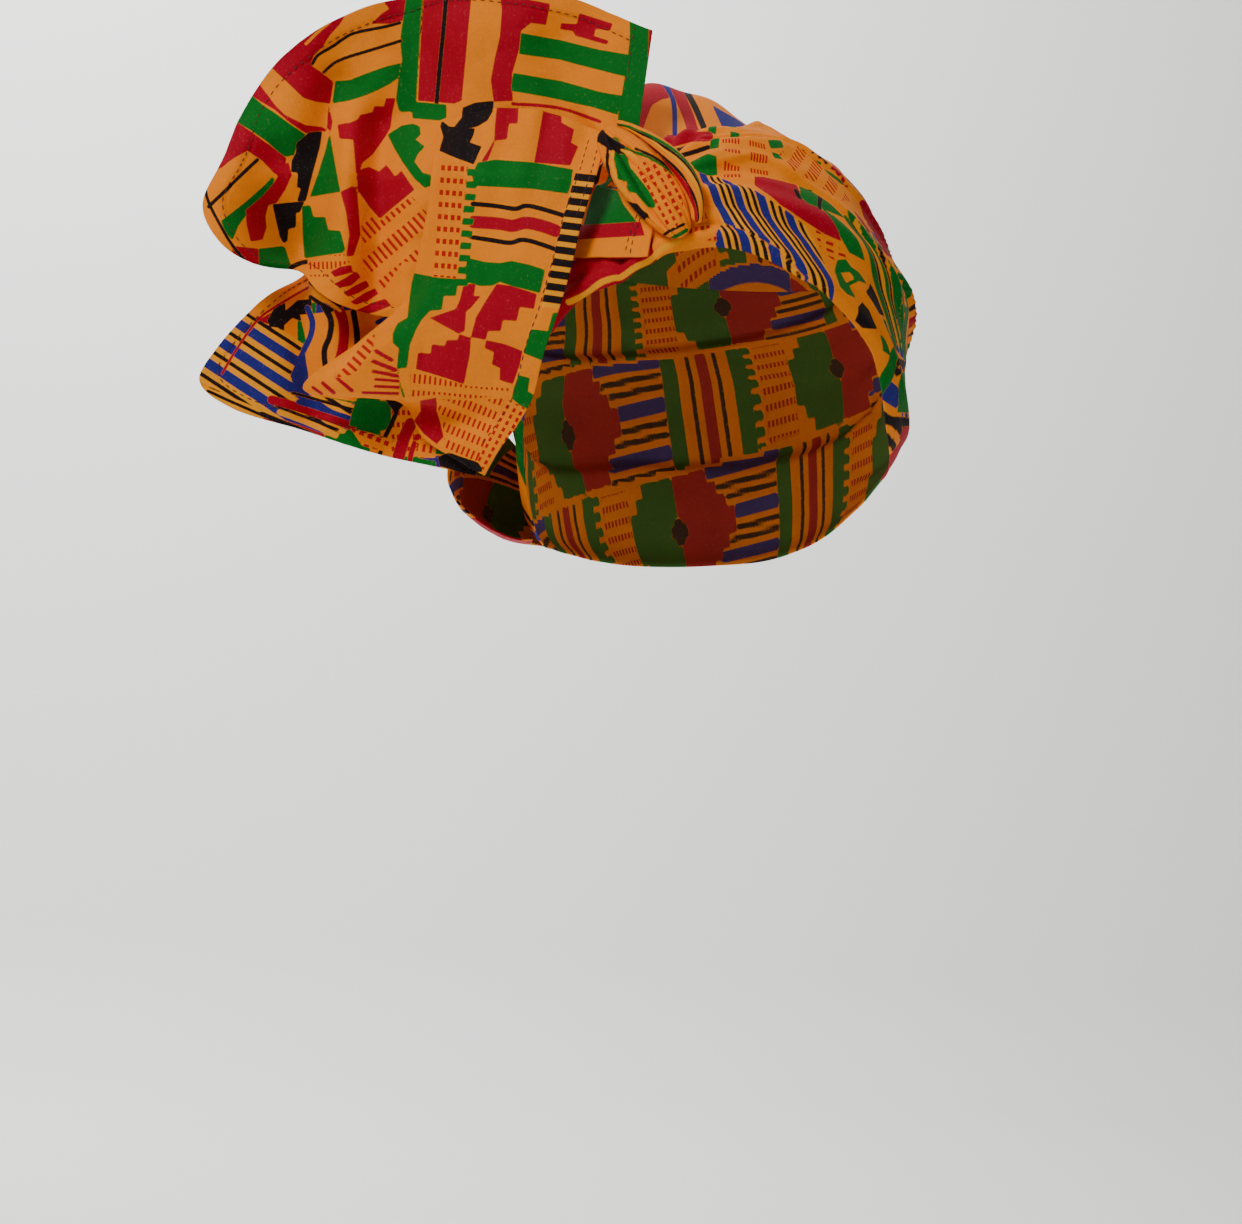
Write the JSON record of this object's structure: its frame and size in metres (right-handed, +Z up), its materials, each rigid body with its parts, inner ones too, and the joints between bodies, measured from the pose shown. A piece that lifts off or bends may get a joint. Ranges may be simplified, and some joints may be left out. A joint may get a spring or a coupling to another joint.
{
  "type": "tied gele head tie",
  "caption": "Kente-print cotton head wrap, tied round the head with a knot over the brow and fanned tails at one side.",
  "frame": {"origin": "the seat on the head: on the head's upright axis, at the height of the wearer's brow", "axes": "+Z up; the wearer looks along -Y; +X on a viewer's right, so the knot and the tails are on the -X side"},
  "size_m": [0.2575, 0.1931, 0.2022],
  "materials": {
    "crown_cotton": "matt printed plain weave",
    "band_cotton": "matt printed plain weave",
    "nape_cotton": "matt printed plain weave",
    "knot_cotton": "matt printed plain weave",
    "upper_tail_cotton": "matt printed plain weave",
    "front_tail_cotton": "matt printed plain weave",
    "lower_fold_cotton": "matt printed plain weave",
    "tucked_end_cotton": "matt printed plain weave"
  },
  "bodies": {
    "root": {"crown_cover": "crown_cotton", "head_band": "band_cotton", "nape_fold": "nape_cotton", "knot": "knot_cotton", "knot_tuck": "knot_cotton", "upper_tail": "upper_tail_cotton", "front_tail": "front_tail_cotton", "lower_fold": "lower_fold_cotton", "tucked_end": "tucked_end_cotton"}
  },
  "joints": []
}
